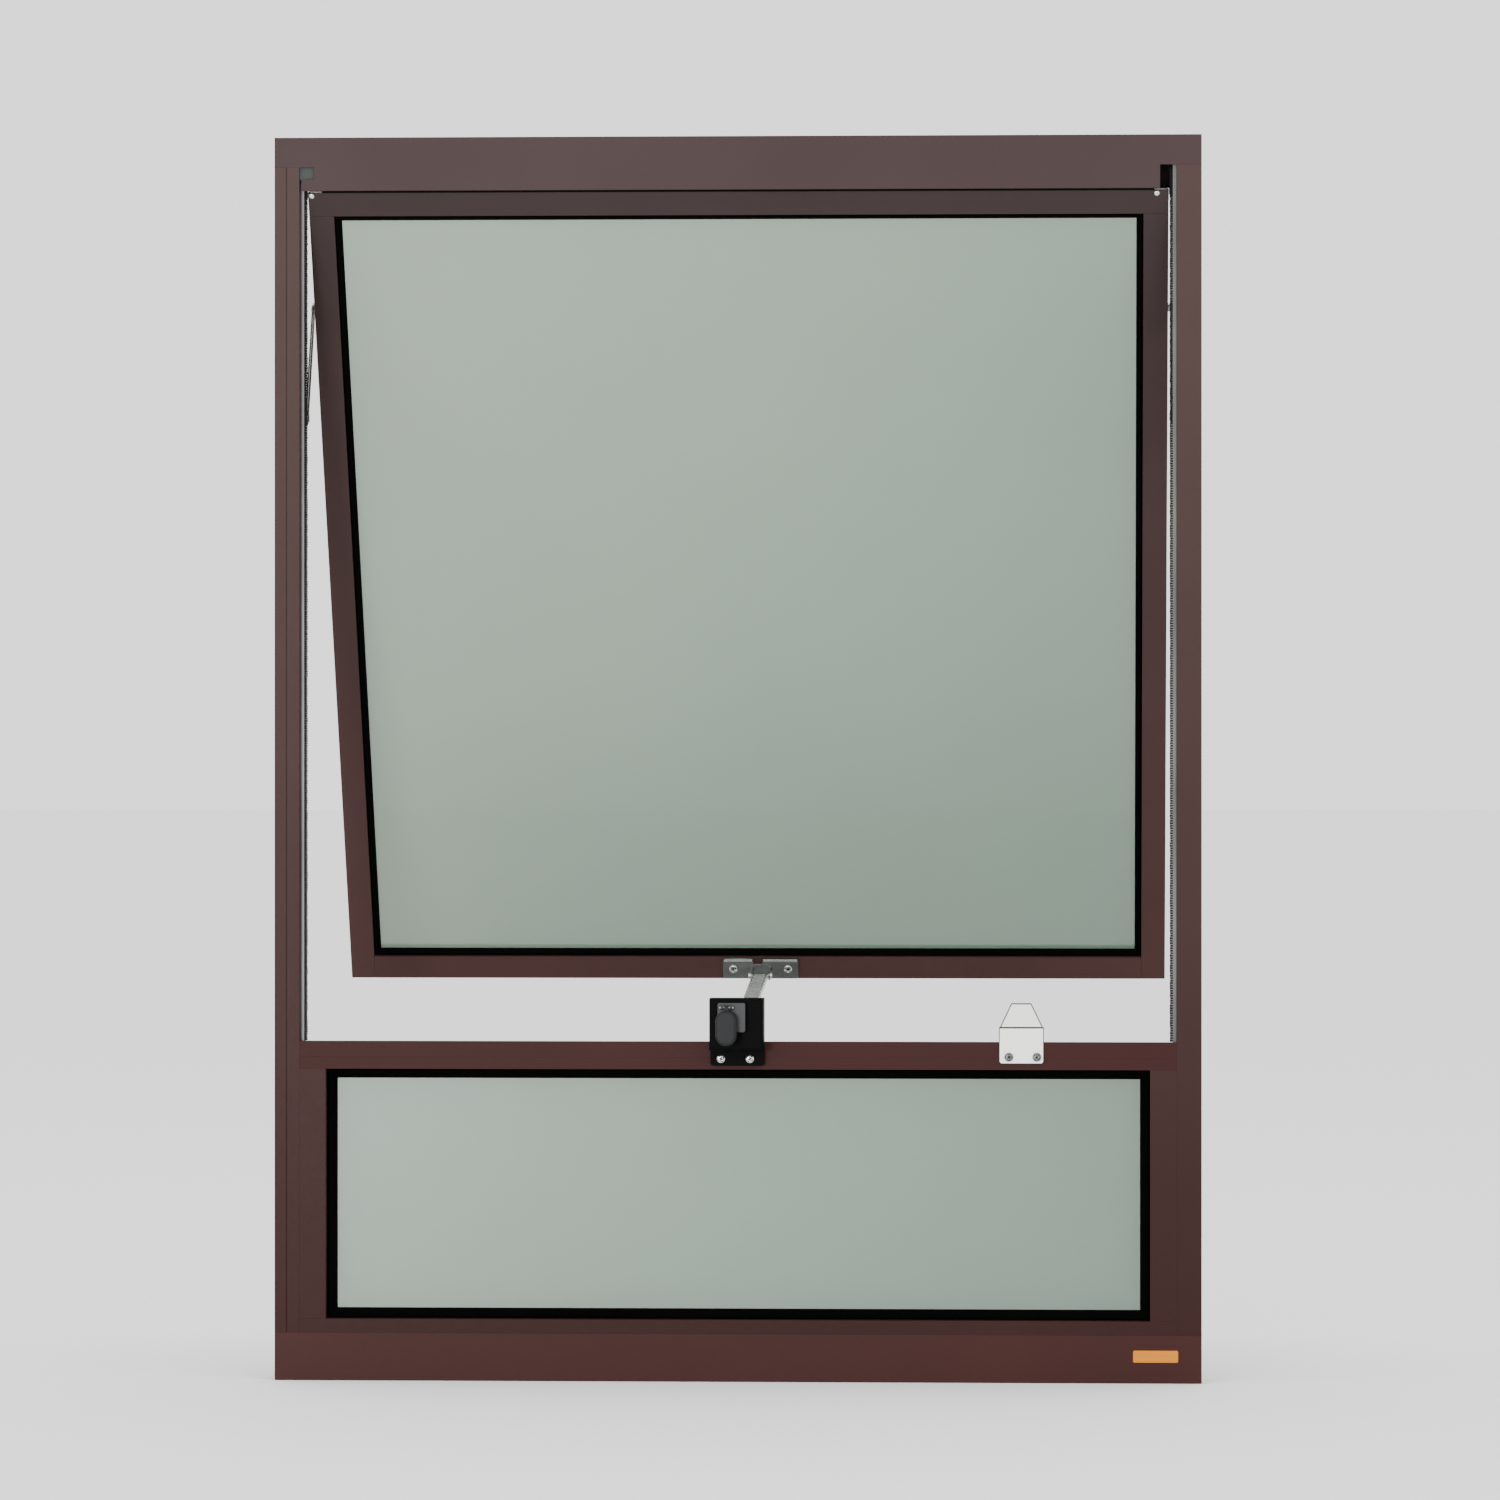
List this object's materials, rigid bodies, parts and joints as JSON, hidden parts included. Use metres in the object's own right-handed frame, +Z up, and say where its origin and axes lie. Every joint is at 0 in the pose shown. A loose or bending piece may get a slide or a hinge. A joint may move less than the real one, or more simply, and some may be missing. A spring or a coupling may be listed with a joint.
{
  "type": "top-hung window sash in frame",
  "caption": "Bronze aluminium window: top-hung awning sash on sliding links over a fixed light, opened by a folding crank chain winder.",
  "frame": {"origin": "middle of the sill's underside, at mid-depth of the frame", "axes": "+X to the right seen from the room, +Y outdoors, +Z up"},
  "size_m": [0.93, 0.4557, 1.248],
  "materials": {
    "frame_bronze": "satin dark bronze powder coat",
    "sash_bronze": "satin dark bronze powder coat, a little darker",
    "window_glass": "grey-green tinted float glass",
    "black_rubber": "matt black EPDM",
    "track_alloy": "mill finish extrusion",
    "stainless": "brushed stainless steel",
    "chain_steel": "bright nickel-plated steel",
    "black_plastic": "fine-textured black nylon",
    "crank_grey": "satin grey coated zinc",
    "grip_grey": "dark grey moulded grip",
    "white_paint": "gloss white powder coat",
    "gold_label": "blank brushed gold foil plate"
  },
  "bodies": {
    "frame": {"head": "frame_bronze", "sill": "frame_bronze", "jamb_left": "frame_bronze", "jamb_right": "frame_bronze", "transom": "frame_bronze", "track_left": "track_alloy", "track_right": "track_alloy", "pile_seal_left": "black_rubber", "pile_seal_right": "black_rubber", "track_screws_left": "stainless", "track_screws_right": "stainless", "link_pivot_left": "stainless", "link_pivot_right": "stainless", "corner_bumper": "black_plastic", "transom_seal": "black_rubber", "fixed_bead_bottom": "frame_bronze", "fixed_bead_top": "frame_bronze", "fixed_bead_left": "frame_bronze", "fixed_bead_right": "frame_bronze", "fixed_stop_left": "frame_bronze", "fixed_stop_right": "frame_bronze", "fixed_gaskets": "black_rubber", "fixed_glass": "window_glass", "setting_blocks": "black_rubber", "weep_caps": "black_plastic", "winder_base": "black_plastic", "winder_cover": "black_plastic", "winder_screws": "stainless", "spindle_bush": "black_plastic", "guide_plate": "white_paint", "guide_screws": "stainless", "label_plate": "gold_label"},
    "link_right": {"link_right": "stainless"},
    "sash": {"sash_stile_left": "sash_bronze", "sash_stile_right": "sash_bronze", "sash_rail_top": "sash_bronze", "sash_rail_bottom": "sash_bronze", "sash_glass": "window_glass", "sash_gaskets": "black_rubber", "top_pivot_left": "stainless", "top_pivot_right": "stainless", "link_stud_left": "stainless", "link_stud_right": "stainless", "sash_bracket": "stainless", "bracket_pin": "stainless", "bracket_screws": "stainless"},
    "link_left": {"link_left": "stainless"},
    "roller_left": {"roller_left": "black_plastic"},
    "roller_right": {"roller_right": "black_plastic"},
    "chain": {"chain_outer_links": "chain_steel", "chain_inner_links": "chain_steel", "chain_pins": "chain_steel"},
    "drive": {"sprocket": "chain_steel", "crown_wheel": "chain_steel", "drive_shaft": "stainless"},
    "crank": {"crank_spindle": "chain_steel", "crank_arm": "crank_grey", "grip_pin": "stainless"},
    "grip": {"grip": "grip_grey"}
  },
  "joints": [
    {"name": "link_right_swing", "type": "hinge", "parent": "frame", "child": "link_right", "pos_m": [0.435, -0.001, 0.967], "axis": [1, 0, 0], "range_deg": [0, 25]},
    {"name": "sash_tilt", "type": "hinge", "parent": "link_right", "child": "sash", "pos_m": [0.435, 0.05183, 1.08029], "axis": [1, 0, 0], "range_deg": [-50, 0]},
    {"name": "link_left_swing", "type": "hinge", "parent": "frame", "child": "link_left", "pos_m": [-0.435, -0.001, 0.967], "axis": [1, 0, 0], "range_deg": [0, 25]},
    {"name": "roller_left_spin", "type": "hinge", "parent": "sash", "child": "roller_left", "pos_m": [-0.436, -0.001, 1.19358], "axis": [1, 0, 0], "continuous": true},
    {"name": "roller_right_spin", "type": "hinge", "parent": "sash", "child": "roller_right", "pos_m": [0.436, -0.001, 1.19358], "axis": [1, 0, 0], "continuous": true},
    {"name": "chain_tilt", "type": "hinge", "parent": "sash", "child": "chain", "pos_m": [0, 0.34221, 0.39368], "axis": [1, 0, 0], "range_deg": [0, 19.5], "deforming": ["chain_outer_links", "chain_inner_links", "chain_pins"]},
    {"name": "drive_spin", "type": "hinge", "parent": "frame", "child": "drive", "pos_m": [0, -0.03668, 0.363], "axis": [1, 0, 0], "range_deg": [-2190, 0]},
    {"name": "crank_spin", "type": "hinge", "parent": "frame", "child": "crank", "pos_m": [-0.0133, -0.056, 0.363], "axis": [0, 1, 0], "range_deg": [-4380, 0]},
    {"name": "grip_fold", "type": "hinge", "parent": "crank", "child": "grip", "pos_m": [-0.008, -0.0635, 0.3765], "axis": [-1, 0, 0], "range_deg": [0, 90]}
  ],
  "couplings": [
    {"joint": "sash_tilt", "follows": "link_right_swing", "ratio": -2},
    {"joint": "link_left_swing", "follows": "link_right_swing", "ratio": 1},
    {"joint": "chain_tilt", "follows": "link_right_swing", "ratio": 0.768},
    {"joint": "drive_spin", "follows": "link_right_swing", "ratio": -87.5},
    {"joint": "crank_spin", "follows": "link_right_swing", "ratio": -175}
  ]
}
